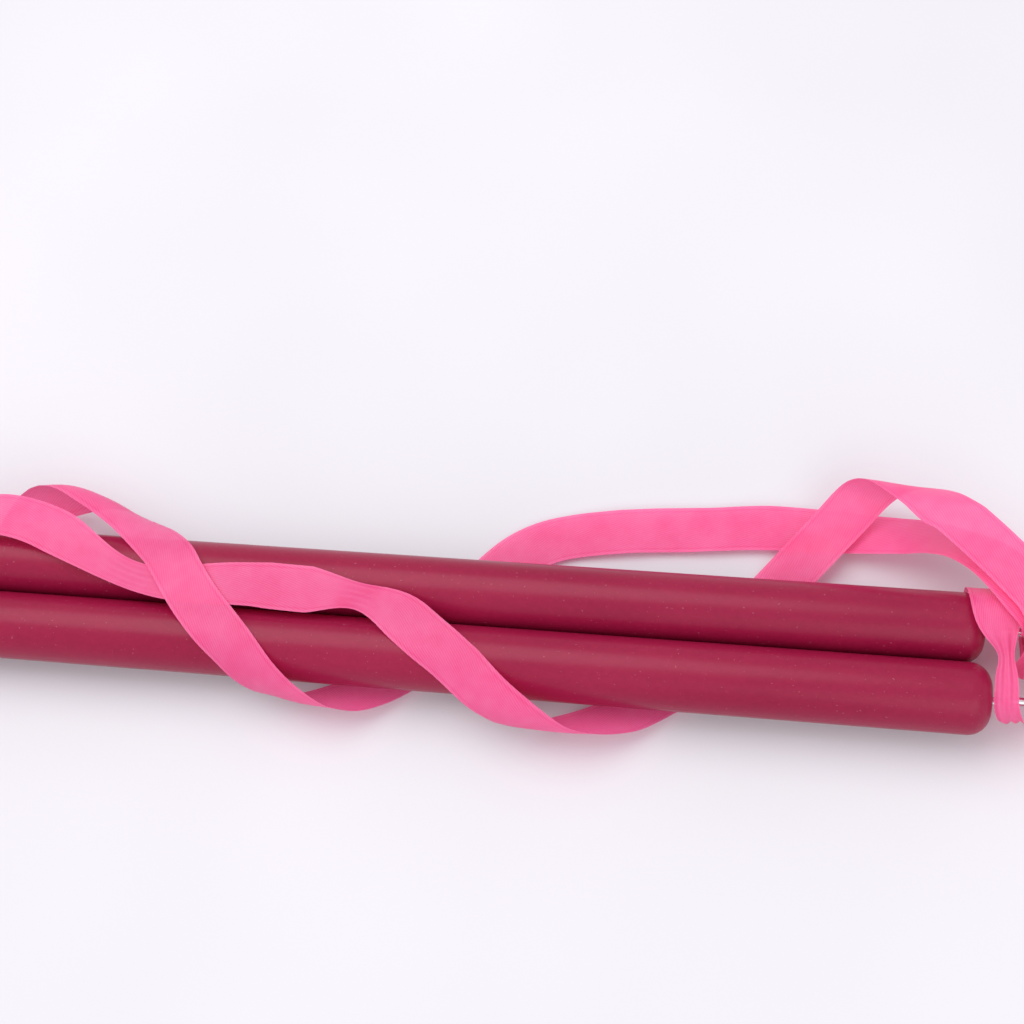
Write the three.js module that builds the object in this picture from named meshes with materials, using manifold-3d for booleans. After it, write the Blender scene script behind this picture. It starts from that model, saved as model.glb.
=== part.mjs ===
// A pair of rhythmic ribbon wands, bundled side by side.
// Each wand is a hollow moulded rod with a plug in its handle end and a swivel in its tip.
// A satin ribbon is tied to each swivel. Both ribbons are wound round the two rods and stored
// as two hanks at the handle end. Millimetres, +Z up. X runs along the rods, towards the tips.
import * as THREE from 'three';
import { mergeVertices } from 'three/addons/utils/BufferGeometryUtils.js';
import Module from 'manifold-3d';

// Driving dimensions
const ROD_RADIUS = 7;
const ROD_LENGTH = 300;
const ROD_WALL = 1.8;
const TIP_WALL = 6; // solid end of the rod that holds the bush
const TIP_ROUNDING = 4.4;
const FIT_GAP = 0.3; // clearance between pieces that touch
const AXIS_HEIGHT = 9; // leaves room under the rods for the ribbon
const PAIR_STAGGER = 1.4; // wand B lies this much further back than wand A

const WIRE_RADIUS = 0.85;
const EYE_RADIUS = 3;
const EYE_REACH = 16; // rod end to the middle of the eye
const BUSH_RADIUS = 1.9;
const BUSH_FLANGE_RADIUS = 3.2;
const BUSH_FLANGE = 0.6;
const WASHER_RADIUS = 2.8;
const WASHER_THICKNESS = 0.5;
const HEAD_RADIUS = 2.2;
const HEAD_THICKNESS = 1;

const PLUG_HEAD = 4;
const PLUG_FLAT_RADIUS = 3.5;
const PLUG_SPIGOT = 12;
const PLUG_WALL = 1.4;

const RIBBON_WIDTH = 10;
const NOMINAL_RADIUS = 7.6; // of a ribbon lying on a rod
const RIBBON_SOLID = 0.5; // the solid is thicker than the cloth, which is about 0.2
const KNOT_START = 7.2; // beyond the rod end
const KNOT_LENGTH = 4.5;
const KNOT_RADIUS = 4.5;
const HANK_OFFSET = 2; // how far a hank stands off the rods
const HANK_LENGTH = 24;
const HANK_A_START = -138;
const HANK_B_START = -106;

const ROUND_SEGMENTS = 32;
const SMALL_SEGMENTS = 20;
const FREE_STEPS = 3; // rows from one free station of a ribbon to the next
const WOUND_STEPS = 4;
const ACROSS = [-0.5, -0.33, -0.17, 0, 0.17, 0.33, 0.5]; // places across a ribbon, shares of its width

const TIP_X = ROD_LENGTH / 2;
const HANDLE_X = -ROD_LENGTH / 2;
const AXIS_Y = ROD_RADIUS + FIT_GAP / 2;

const WANDS = {
  a: { y: -AXIS_Y, shift: 0 },
  b: { y: AXIS_Y, shift: -PAIR_STAGGER },
};

// Ribbon routes. A free stretch has stations [x, y, z, roll, width]. Roll is the direction that
// the ribbon's outer face looks in, in degrees about X: 0 is up, 90 is +Y, 180 down, 270 is -Y.
// A wound stretch has stations [x, around, roundY, roundZ, width]: around is the distance from
// the top middle towards +Y on its outline, and roundY and roundZ are the radii of its ends.
const W = RIBBON_WIDTH;
const A_START = [
  // from behind its knot, round past both tips
  [159, -8, 3, 180, 4],
  [160.6, -11.5, 4.2, 222, 4.8],
  [161.6, -12.6, 8.5, 270, 6.5],
  [162.2, -9.4, 14.4, 318, 9],
  [161.8, -2.2, 18.4, 346, W],
  [160.2, 5, 19.8, 357, W],
];
// the loop beside the rods, folded over at its far side
const A_LOOP = [
  [157.2, 11.5, 7, 8.4, W],
  [152.4, 16.9, 6.4, 7.9, W],
  [147.2, 22.2, 6, 7.4, W],
  [142, 27.2, 5.8, 6.9, W],
  [135, 33.8, 6.2, 6.5, W],
  [128.5, 40.5, 7.4, 6.4, W],
  [122.8, 48, 7.8, 6.3, W],
  [118.2, 54, 7.6, 6.5, W],
  [113.2, 60, 7.6, 7.8, W],
  [108.8, 65, 7.6, 9.4, W],
  [105, 69.8, 7.6, 10.4, W],
];
// under both rods
const A_UNDER = [
  [101, 6.5, 0.8, 540, W],
  [96.5, 0.5, 0.8, 540, W],
];
// up round the edge of wand A and over both rods
const A_WOUND = [
  [92, -33, 10, 8.2, W],
  [87.6, -30.6, 11.6, 8.2, W],
  [81.8, -27.6, 12.8, 8, W],
  [74.5, -24.4, 13.1, 7.8, W],
  [66.8, -21, 13.2, 7.6, W],
  [58.5, -16.6, 12.6, 7.6, W],
  [50.8, -12.4, 10.4, 7.6, W],
  [45.2, -8.9, 8, 7.6, W],
  [39.3, -4.8, 7.6, 7.6, W],
  [34.1, -1.1, 7.6, 7.6, 9.5],
  [25.4, 2, 7.6, 7.6, 6],
  [15, 2.7, 7.6, 7.6, W],
  [6, 3, 7.6, 7.6, W],
];
// across ribbon B, over hank B and up to hank A
const A_ON_TOP = [
  [-4.7, 2.6, 16.6, 720, 9],
  [-13.5, 2, 16.6, 720, 7.5],
  [-22.6, 3, 16.6, 720, 6.2],
  [-31.9, 6.7, 17.3, 722, 7.6],
  [-40.7, 11.1, 17.8, 725, W],
  [-49.5, 13.8, 18, 727, W],
  [-57, 13.8, 17.9, 725, W],
  [-64.5, 10, 18, 722, W],
  [-71.5, 5.2, 18.4, 720, W],
  [-79, 2.5, 18.7, 720, W],
  [-92, 1.5, 18.7, 720, W],
  [-106, 1, 18.6, 720, W],
  [-110.5, 0.6, 17.8, 720, W],
  [-113.5, 0.5, 17.2, 720, W],
];
const B_START = [
  // from behind its knot, up between the two swivels
  [157.8, 8, 3.2, 180, 4],
  [158, 3, 4, 215, 4],
  [157.4, -1.2, 6.6, 285, 5],
  [157, -1.2, 10, 292, 6.4],
  [158, 0.2, 13.8, 268, 7],
  [158.6, 5.2, 16.8, 222, 9],
  [155.2, 11.4, 18, 190, W],
  // along beside wand B
  [150.2, 18, 16.3, 190, W],
  [144.2, 23.6, 11.8, 204, W],
  [136.8, 26.8, 7, 202, W],
  [127.8, 28.2, 3.6, 194, W],
  [116.3, 29, 2.2, 184, W],
  [104, 29, 1.8, 180, W],
  [91.7, 27.8, 1.8, 180, W],
  [81.4, 26.9, 1.8, 180, W],
  [71, 25.6, 1.6, 180, W],
  [63, 24, 1.3, 180, W],
  [55.5, 20.5, 1, 180, W],
  [49.5, 14.8, 0.8, 180, W],
  [45, 7.4, 0.8, 180, W],
  [42, 1, 0.8, 180, W],
];
// round the edge of wand A, over both rods, and once more round them to hank B
const B_WOUND = [
  [39, -34.5, 9.6, 8.2, W],
  [34.5, -31.2, 11.2, 8.2, W],
  [28, -27.5, 12.4, 8, W],
  [20.5, -24, 12.2, 7.8, W],
  [13.5, -20, 11.4, 7.6, W],
  [6.5, -15.8, 9.2, 7.6, W],
  [1.3, -10.9, 7.8, 7.6, W],
  [-2, -7.6, 7.8, 8, W],
  [-6.9, -2.8, 8, 8.5, W],
  [-10.7, 1.6, 8.2, 8.6, W],
  [-13.6, 5.4, 8.4, 8.4, W],
  [-18, 10, 8.6, 8.3, W],
  [-23.5, 13.6, 10.2, 7.9, W],
  [-30.5, 16.2, 13.6, 7.6, W],
  [-38.5, 18.3, 17.2, 7.6, W],
  [-46.5, 20.6, 18.4, 7.6, W],
  [-54, 24, 15.4, 7.8, W],
  [-59, 30, 10.4, 8, W],
  [-62, 37.5, 8.4, 8.2, W],
  [-64.2, 45.5, 8, 8.2, W],
  [-66, 54, 8, 7.8, W],
  [-69, 62, 7.8, 7.6, W],
  [-74, 70, 7.7, 7.6, W],
  [-77.8, 73.8, 7.7, 7.6, W],
];
// The short free ends of the two ribbons beyond their knots
const TAIL_A = [
  [155, -10, 6.2, 240, 3.4],
  [153.8, -11.2, 9.4, 286, 4.4],
  [152.6, -10, 12.2, 318, 4.6],
  [152.3, -6.4, 13.9, 350, 4.4],
  [152.2, -3, 14.3, 360, 3.8],
  [152.1, 0.2, 14.4, 360, 3],
  [151.3, 3.4, 15.6, 352, 5.8],
  [150.3, 6.8, 16.7, 356, 8.6],
  [149.8, 10.2, 16.4, 382, 9.4],
  [149.5, 13.8, 13.2, 420, 9.4],
  [149.3, 15.7, 8.8, 452, 9],
  [149.2, 16, 5.2, 462, 8.6],
];
const TAIL_B = [
  [156.6, 5.2, 13.4, -20, 3],
  [157.7, 7, 14.6, 0, 4],
  [157.7, 11, 13.4, 42, 4],
  [157.7, 13.4, 9.5, 90, 4.5],
  [157.5, 14.2, 5, 105, 5],
  [156.9, 16, 1.8, 130, 6],
];

const wasm = await Module();
wasm.setup();

const plastic = new THREE.MeshStandardMaterial({ color: 0xa51c3e, roughness: 0.35 });
const steel = new THREE.MeshStandardMaterial({ color: 0xc4c6c9, roughness: 0.25, metalness: 1 });
const nickel = new THREE.MeshStandardMaterial({ color: 0xb9b4a6, roughness: 0.3, metalness: 1 });
const nylon = new THREE.MeshStandardMaterial({ color: 0xe9e6de, roughness: 0.5 });
const satin = new THREE.MeshStandardMaterial({ color: 0xfb5f98, roughness: 0.45 });

const bundle = new THREE.Group();

function addPiece(name, geometry, material, parent = bundle) {
  const mesh = new THREE.Mesh(geometry, material);
  mesh.name = name;
  parent.add(mesh);
  return mesh;
}

// A turned piece: its profile is a list of [distance along X, radius].
function turned(profile, segments) {
  const points = profile.map(([along, radius]) => new THREE.Vector2(radius, along));
  const geometry = new THREE.LatheGeometry(points, segments);
  return geometry.rotateZ(-Math.PI / 2);
}

// Points of a quarter round from one radius up to another, as [distance along X, radius].
function quarterRound(startX, startRadius, endX, endRadius, steps) {
  const points = [];
  for (let i = 0; i <= steps; i += 1) {
    const angle = (i / steps) * (Math.PI / 2);
    const along = startX + (endX - startX) * Math.sin(angle);
    const radius = endRadius + (startRadius - endRadius) * Math.cos(angle);
    points.push([along, radius]);
  }
  return points;
}

function rodGeometry() {
  const inner = ROD_RADIUS - ROD_WALL;
  const bore = BUSH_RADIUS + FIT_GAP;
  return turned(
    [
      [HANDLE_X, inner],
      [HANDLE_X, ROD_RADIUS],
      ...quarterRound(TIP_X - TIP_ROUNDING, ROD_RADIUS, TIP_X, ROD_RADIUS - TIP_ROUNDING, 6),
      [TIP_X, bore],
      [TIP_X - TIP_WALL, bore],
      [TIP_X - TIP_WALL, inner],
      [HANDLE_X, inner],
    ],
    ROUND_SEGMENTS,
  );
}

function plugGeometry() {
  const spigot = ROD_RADIUS - ROD_WALL - FIT_GAP;
  const shoulder = HANDLE_X - FIT_GAP;
  const end = HANDLE_X - PLUG_HEAD;
  const edge = quarterRound(shoulder, ROD_RADIUS, end, PLUG_FLAT_RADIUS, 5).reverse();
  return turned(
    [
      [end, 0],
      ...edge,
      [shoulder, spigot],
      [HANDLE_X + PLUG_SPIGOT, spigot],
      [HANDLE_X + PLUG_SPIGOT, spigot - PLUG_WALL],
      [HANDLE_X + PLUG_WALL, spigot - PLUG_WALL],
      [HANDLE_X + PLUG_WALL, 0],
    ],
    ROUND_SEGMENTS,
  );
}

// The flanged tube that lines the tip. Its flange bears on the inside of the rod's end.
const FLANGE_FACE = TIP_X - TIP_WALL - FIT_GAP;
function bushGeometry() {
  const hole = WIRE_RADIUS + FIT_GAP;
  return turned(
    [
      [FLANGE_FACE - BUSH_FLANGE, hole],
      [FLANGE_FACE - BUSH_FLANGE, BUSH_FLANGE_RADIUS],
      [FLANGE_FACE, BUSH_FLANGE_RADIUS],
      [FLANGE_FACE, BUSH_RADIUS],
      [TIP_X, BUSH_RADIUS],
      [TIP_X, hole],
      [FLANGE_FACE - BUSH_FLANGE, hole],
    ],
    SMALL_SEGMENTS,
  );
}

const WASHER_FACE = FLANGE_FACE - BUSH_FLANGE - FIT_GAP;
function washerGeometry() {
  const hole = WIRE_RADIUS + FIT_GAP;
  return turned(
    [
      [WASHER_FACE - WASHER_THICKNESS, hole],
      [WASHER_FACE - WASHER_THICKNESS, WASHER_RADIUS],
      [WASHER_FACE, WASHER_RADIUS],
      [WASHER_FACE, hole],
      [WASHER_FACE - WASHER_THICKNESS, hole],
    ],
    SMALL_SEGMENTS,
  );
}

function toManifold(geometry) {
  const bare = geometry.clone();
  bare.deleteAttribute('normal');
  bare.deleteAttribute('uv');
  const merged = mergeVertices(bare, 1e-4);
  const mesh = new wasm.Mesh({
    numProp: 3,
    vertProperties: new Float32Array(merged.attributes.position.array),
    triVerts: new Uint32Array(merged.index.array),
  });
  mesh.merge();
  return new wasm.Manifold(mesh);
}

function toGeometry(solid) {
  const mesh = solid.getMesh();
  const geometry = new THREE.BufferGeometry();
  geometry.setAttribute('position', new THREE.BufferAttribute(mesh.vertProperties, 3));
  geometry.setIndex(new THREE.BufferAttribute(mesh.triVerts, 1));
  geometry.computeVertexNormals();
  return geometry;
}

// A wire pin with an upset head inside the rod and a closed eye outside it.
function pinGeometry() {
  const headFace = WASHER_FACE - WASHER_THICKNESS - FIT_GAP;
  const eyeX = TIP_X + EYE_REACH;
  const shank = turned(
    [
      [headFace - HEAD_THICKNESS, 0],
      [headFace - HEAD_THICKNESS, HEAD_RADIUS - FIT_GAP],
      [headFace - HEAD_THICKNESS + FIT_GAP, HEAD_RADIUS],
      [headFace, HEAD_RADIUS],
      [headFace, WIRE_RADIUS],
      [eyeX - EYE_RADIUS, WIRE_RADIUS],
      [eyeX - EYE_RADIUS, 0],
    ],
    SMALL_SEGMENTS,
  );
  const eye = new THREE.TorusGeometry(EYE_RADIUS, WIRE_RADIUS, 12, 32);
  eye.translate(eyeX, 0, 0);
  return toGeometry(toManifold(shank).add(toManifold(eye)));
}

// The ribbon tied round the pin, gathered tight at the rod and fuller further out.
function knotGeometry() {
  const hole = WIRE_RADIUS + FIT_GAP;
  const start = TIP_X + KNOT_START;
  return turned(
    [
      [start, hole],
      [start, 0.6 * KNOT_RADIUS],
      [start + 0.25 * KNOT_LENGTH, 0.85 * KNOT_RADIUS],
      [start + 0.6 * KNOT_LENGTH, KNOT_RADIUS],
      [start + KNOT_LENGTH, 0.8 * KNOT_RADIUS],
      [start + KNOT_LENGTH, hole],
      [start, hole],
    ],
    SMALL_SEGMENTS,
  );
}

// Y, z and roll of a point on the rounded outline that a wound ribbon follows.
function onOutline(outline, around, roundY, roundZ) {
  const straight = 2 * outline.halfWidth;
  const bend = Math.PI * NOMINAL_RADIUS;
  const halfTurns = Math.floor((around + outline.halfWidth) / (straight + bend));
  const reach = around + outline.halfWidth - halfTurns * (straight + bend);
  const angle = Math.PI * THREE.MathUtils.clamp((reach - straight) / bend, 0, 1);
  const flip = halfTurns % 2 === 0 ? 1 : -1;
  const y = Math.min(reach, straight) - outline.halfWidth + roundY * Math.sin(angle);
  const roll = THREE.MathUtils.radToDeg(angle) + 180 * halfTurns + outline.roll;
  return { y: flip * y, z: outline.middleZ + flip * roundZ * Math.cos(angle), roll };
}

// Rows of numbers between a list's stations, along a Catmull-Rom curve.
function between(stations, steps) {
  const rows = [];
  for (let i = 0; i < stations.length - 1; i += 1) {
    const four = [i - 1, i, i + 1, i + 2].map(
      (k) => stations[THREE.MathUtils.clamp(k, 0, stations.length - 1)],
    );
    for (let k = 0; k < steps; k += 1) {
      const t = k / steps;
      rows.push(
        stations[i].map((from, c) => {
          const to = four[2][c];
          const leaving = (to - four[0][c]) / 2;
          const arriving = (four[3][c] - from) / 2;
          const square = 3 * (to - from) - 2 * leaving - arriving;
          const cubic = 2 * (from - to) + leaving + arriving;
          return from + leaving * t + square * t ** 2 + cubic * t ** 3;
        }),
      );
    }
  }
  rows.push(stations[stations.length - 1]);
  return rows;
}

// One row of points across a free ribbon.
function freeRow([x, y, z, roll, width], along) {
  const angle = THREE.MathUtils.degToRad(roll);
  const out = new THREE.Vector3(0, Math.sin(angle), Math.cos(angle));
  out.addScaledVector(along, -out.dot(along)).normalize();
  const across = new THREE.Vector3().crossVectors(out, along);
  return ACROSS.map((u) => new THREE.Vector3(x, y, z).addScaledVector(across, u * width));
}

// One row of points across a wound ribbon, which follows its outline from edge to edge.
function woundRow(outline, [x, around, roundY, roundZ, width], [runX, runAround]) {
  const before = onOutline(outline, around - 2, roundY, roundZ);
  const after = onOutline(outline, around + 2, roundY, roundZ);
  const stretch = Math.hypot(after.y - before.y, after.z - before.z) / 4;
  const norm = Math.hypot(runX, stretch * runAround);
  return ACROSS.map((u) => {
    const place = around + (u * width * runX) / (norm * stretch);
    const { y, z } = onOutline(outline, place, roundY, roundZ);
    return new THREE.Vector3(x - (u * width * stretch * runAround) / norm, y, z);
  });
}

// The rows of a whole ribbon, stretch by stretch.
function ribbonRows(stretches) {
  const knots = [];
  for (const { outline, stations } of stretches) {
    const rows = outline ? between(stations, WOUND_STEPS) : stations;
    rows.forEach((row, i) => {
      if (!outline) {
        knots.push({ row });
        return;
      }
      const [x, around, roundY, roundZ, width] = row;
      const { y, z, roll } = onOutline(outline, around, roundY, roundZ);
      const inside = i > 0 && i < rows.length - 1;
      const run = inside && [rows[i + 1][0] - rows[i - 1][0], rows[i + 1][1] - rows[i - 1][1]];
      knots.push({ row: [x, y, z, roll, width], wound: inside && { outline, row, run } });
    });
  }
  const curve = new THREE.CatmullRomCurve3(
    knots.map(({ row }) => new THREE.Vector3(row[0], row[1], row[2])),
  );
  const rows = [];
  knots.forEach(({ row, wound }, i) => {
    if (wound) {
      rows.push(woundRow(wound.outline, wound.row, wound.run));
      return;
    }
    const next = knots[Math.min(i + 1, knots.length - 1)];
    const last = i === knots.length - 1;
    const steps = next.wound || last ? 1 : FREE_STEPS;
    for (let k = 0; k < steps; k += 1) {
      const t = (i + k / steps) / (knots.length - 1);
      const at = curve.getPoint(t);
      const roll = THREE.MathUtils.lerp(row[3], next.row[3], k / steps);
      const width = THREE.MathUtils.lerp(row[4], next.row[4], k / steps);
      rows.push(freeRow([at.x, at.y, at.z, roll, width], curve.getTangent(t)));
    }
  });
  return rows;
}

// A ribbon laid along its stretches: a flat box bent so that it follows every row.
function ribbonGeometry(stretches) {
  const rows = ribbonRows(stretches);
  const geometry = new THREE.BoxGeometry(1, 1, 1, rows.length - 1, ACROSS.length - 1, 1);
  const position = geometry.attributes.position;
  const rowAt = (i) => rows[THREE.MathUtils.clamp(i, 0, rows.length - 1)];
  for (let k = 0; k < position.count; k += 1) {
    const i = Math.round((position.getX(k) + 0.5) * (rows.length - 1));
    const j = Math.round((position.getY(k) + 0.5) * (ACROSS.length - 1));
    const along = new THREE.Vector3().subVectors(rowAt(i + 1)[j], rowAt(i - 1)[j]);
    const left = rows[i][Math.max(j - 1, 0)];
    const right = rows[i][Math.min(j + 1, ACROSS.length - 1)];
    const across = new THREE.Vector3().subVectors(right, left);
    const out = new THREE.Vector3().crossVectors(along, across).normalize();
    const point = rows[i][j].clone().addScaledVector(out, position.getZ(k) * RIBBON_SOLID);
    position.setXYZ(k, point.x, point.y, point.z);
  }
  geometry.computeVertexNormals();
  return geometry;
}

// The outline round both rods at a distance from them, drawn in Y and Z.
function outlineRoundRods(path, offset) {
  const radius = ROD_RADIUS + offset;
  const quarter = Math.PI / 2;
  path.absarc(AXIS_Y, AXIS_HEIGHT, radius, -quarter, quarter, false);
  path.absarc(-AXIS_Y, AXIS_HEIGHT, radius, quarter, 3 * quarter, false);
  path.closePath();
  return path;
}

// The turns of a hank, as one sleeve round both rods.
function hankGeometry(startX) {
  const shape = outlineRoundRods(new THREE.Shape(), HANK_OFFSET);
  shape.holes.push(outlineRoundRods(new THREE.Path(), FIT_GAP));
  const sleeve = new THREE.ExtrudeGeometry(shape, {
    depth: HANK_LENGTH,
    bevelEnabled: false,
    curveSegments: 14,
  });
  const turn = new THREE.Matrix4().makeBasis(
    new THREE.Vector3(0, 1, 0),
    new THREE.Vector3(0, 0, 1),
    new THREE.Vector3(1, 0, 0),
  );
  return sleeve.applyMatrix4(turn).translate(startX, 0, 0);
}

// The ribbon's cut end, lying on the outside of its hank round one side of the bundle.
function hankEndRoute(x, axisY, fromRoll, toRoll) {
  const radius = ROD_RADIUS + HANK_OFFSET + FIT_GAP + 0.6 * RIBBON_SOLID;
  const stations = 4;
  const route = [];
  for (let i = 0; i <= stations; i += 1) {
    const roll = THREE.MathUtils.lerp(fromRoll, toRoll, i / stations);
    const angle = THREE.MathUtils.degToRad(roll);
    const y = axisY + radius * Math.sin(angle);
    const z = AXIS_HEIGHT + radius * Math.cos(angle);
    route.push([x - 0.8 * i, y, z, roll, RIBBON_WIDTH]);
  }
  return [{ stations: route }];
}

for (const [id, wand] of Object.entries(WANDS)) {
  const rigid = new THREE.Group();
  rigid.position.set(wand.shift, wand.y, AXIS_HEIGHT);
  addPiece(`rod_${id}`, rodGeometry(), plastic, rigid);
  addPiece(`handle_plug_${id}`, plugGeometry(), plastic, rigid);
  addPiece(`tip_bush_${id}`, bushGeometry(), nickel, rigid);
  addPiece(`thrust_washer_${id}`, washerGeometry(), nylon, rigid);
  addPiece(`swivel_pin_${id}`, pinGeometry(), steel, rigid);
  addPiece(`ribbon_knot_${id}`, knotGeometry(), satin, rigid);
  bundle.add(rigid);
}

const FOLD = { halfWidth: 28.8, middleZ: 11.5, roll: 360 };
const ROUND_RODS_A = { halfWidth: AXIS_Y, middleZ: AXIS_HEIGHT, roll: 720 };
const ROUND_RODS_B = { halfWidth: AXIS_Y, middleZ: AXIS_HEIGHT, roll: 360 };
const RIBBON_A = [
  { stations: A_START },
  { outline: FOLD, stations: A_LOOP },
  { stations: A_UNDER },
  { outline: ROUND_RODS_A, stations: A_WOUND },
  { stations: A_ON_TOP },
];
const RIBBON_B = [{ stations: B_START }, { outline: ROUND_RODS_B, stations: B_WOUND }];

addPiece('ribbon_a', ribbonGeometry(RIBBON_A), satin);
addPiece('ribbon_b', ribbonGeometry(RIBBON_B), satin);
addPiece('ribbon_tail_a', ribbonGeometry([{ stations: TAIL_A }]), satin);
addPiece('ribbon_tail_b', ribbonGeometry([{ stations: TAIL_B }]), satin);
addPiece('ribbon_hank_a', hankGeometry(HANK_A_START), satin);
addPiece('ribbon_hank_b', hankGeometry(HANK_B_START), satin);
addPiece('hank_end_a', ribbonGeometry(hankEndRoute(-121, AXIS_Y, 10, 75)), satin);
addPiece('hank_end_b', ribbonGeometry(hankEndRoute(-89, -AXIS_Y, -35, -100)), satin);

// The origin is on the surface that the bundle lies on, under the middle of its box.
bundle.updateMatrixWorld(true);
const box = new THREE.Box3().setFromObject(bundle, true);
const middle = box.getCenter(new THREE.Vector3());
bundle.position.set(-middle.x, -middle.y, -box.min.z);

const group = new THREE.Group();
group.add(bundle);
export default group;
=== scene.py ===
"""Two rhythmic ribbon wands lying side by side, with their satin ribbons wound round them.

Metres. The bundle's own axes run through the CAD frame: X along the rods towards the tips,
z = 0 on the surface that the bundle lies on.
"""

import math

import bpy
import numpy as np
from mathutils import Euler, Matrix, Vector


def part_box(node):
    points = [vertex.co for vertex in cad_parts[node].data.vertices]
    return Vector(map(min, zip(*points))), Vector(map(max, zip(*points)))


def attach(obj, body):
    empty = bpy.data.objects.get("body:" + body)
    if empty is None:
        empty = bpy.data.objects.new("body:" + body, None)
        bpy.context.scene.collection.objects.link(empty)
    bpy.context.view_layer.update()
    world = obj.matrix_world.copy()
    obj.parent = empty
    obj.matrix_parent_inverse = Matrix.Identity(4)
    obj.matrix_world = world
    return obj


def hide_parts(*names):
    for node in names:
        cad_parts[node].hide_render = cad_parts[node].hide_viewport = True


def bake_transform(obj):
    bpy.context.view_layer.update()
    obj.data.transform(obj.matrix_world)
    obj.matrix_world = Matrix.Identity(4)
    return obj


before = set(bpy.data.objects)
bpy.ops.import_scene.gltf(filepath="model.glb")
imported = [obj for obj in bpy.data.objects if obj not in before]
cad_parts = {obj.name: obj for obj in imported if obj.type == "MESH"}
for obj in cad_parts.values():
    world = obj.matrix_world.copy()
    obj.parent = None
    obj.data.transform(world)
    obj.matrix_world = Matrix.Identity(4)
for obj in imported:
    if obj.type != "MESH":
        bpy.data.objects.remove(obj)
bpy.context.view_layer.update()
scene = bpy.context.scene

# Sizes, as in the CAD
ROD_LENGTH = 0.300
ROD_RADIUS = 0.007
ROD_WALL = 0.0018
TIP_WALL = 0.006
TIP_ROUNDING = 0.0044
FIT_GAP = 0.0003
AXIS_HEIGHT = 0.009
AXIS_Y = ROD_RADIUS + FIT_GAP / 2
PAIR_STAGGER = 0.0014
WIRE_RADIUS = 0.00085
EYE_RADIUS = 0.003
EYE_REACH = 0.016
BUSH_RADIUS = 0.0019
BUSH_FLANGE_RADIUS = 0.0032
BUSH_FLANGE = 0.0006
PLUG_HEAD = 0.004
PLUG_FLAT_RADIUS = 0.0035
PLUG_SPIGOT = 0.012
PLUG_WALL = 0.0014
KNOT_START = 0.0072
KNOT_LENGTH = 0.0045
RIBBON_WIDTH = 0.010
NOMINAL_RADIUS = 0.0076
HANK_OFFSET = 0.002
HANK_LENGTH = 0.024
HANK_A_START = -0.138
HANK_B_START = -0.106

TIP_X = ROD_LENGTH / 2
HANDLE_X = -ROD_LENGTH / 2

# The bundle's own origin in the CAD frame: rod A's tip is at x = TIP_X, its axis at -AXIS_Y
rod_low, rod_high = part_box("rod_a")
ORIGIN = Vector(
    (
        rod_high.x - TIP_X,
        (rod_low.y + rod_high.y) / 2 + AXIS_Y,
        (rod_low.z + rod_high.z) / 2 - AXIS_HEIGHT,
    )
)
WANDS = {
    "a": (-AXIS_Y, 0.0),
    "b": (AXIS_Y, -PAIR_STAGGER),
}

# Camera, from the bundle's own origin
CAMERA_PLACE = Vector((0.1102, -0.1166, 0.3293))
CAMERA_TURN = (24.71, 7.00, 7.05)
CAMERA_LENS = 60

camera_data = bpy.data.cameras.new("camera")
camera_data.lens = CAMERA_LENS
camera_data.sensor_width = 36
camera = bpy.data.objects.new("camera", camera_data)
camera.location = ORIGIN + CAMERA_PLACE
camera.rotation_euler = Euler([math.radians(angle) for angle in CAMERA_TURN])
scene.collection.objects.link(camera)
scene.camera = camera

# Ribbon routes. Free stations are (x, y, z, roll, width): roll is the direction that the
# ribbon's outer face looks in, in degrees about X, with 0 up, 90 towards +Y, 180 down.
# Wound stations are (x, around, round_y, round_z, width) on an outline.
A_START = [
    # from behind its knot, round past both tips
    (0.1590, -0.0080, 0.0030, 180, 0.0040),
    (0.1606, -0.0115, 0.0042, 222, 0.0048),
    (0.1616, -0.0126, 0.0085, 270, 0.0065),
    (0.1622, -0.0094, 0.0144, 318, 0.0090),
    (0.1618, -0.0022, 0.0184, 346, RIBBON_WIDTH),
    (0.1602, 0.0050, 0.0198, 357, RIBBON_WIDTH),
]
# the loop beside the rods, folded over at its far side
A_LOOP = [
    (0.1572, 0.0115, 0.0070, 0.0084, RIBBON_WIDTH),
    (0.1524, 0.0169, 0.0064, 0.0079, RIBBON_WIDTH),
    (0.1472, 0.0222, 0.0060, 0.0074, RIBBON_WIDTH),
    (0.1420, 0.0272, 0.0058, 0.0069, RIBBON_WIDTH),
    (0.1350, 0.0338, 0.0062, 0.0065, RIBBON_WIDTH),
    (0.1285, 0.0405, 0.0074, 0.0064, RIBBON_WIDTH),
    (0.1228, 0.0480, 0.0078, 0.0063, RIBBON_WIDTH),
    (0.1182, 0.0540, 0.0076, 0.0065, RIBBON_WIDTH),
    (0.1132, 0.0600, 0.0076, 0.0078, RIBBON_WIDTH),
    (0.1088, 0.0650, 0.0076, 0.0094, RIBBON_WIDTH),
    (0.1050, 0.0698, 0.0076, 0.0104, RIBBON_WIDTH),
]
A_UNDER = [
    (0.1010, 0.0065, 0.0008, 540, RIBBON_WIDTH),
    (0.0965, 0.0005, 0.0008, 540, RIBBON_WIDTH),
]
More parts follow.
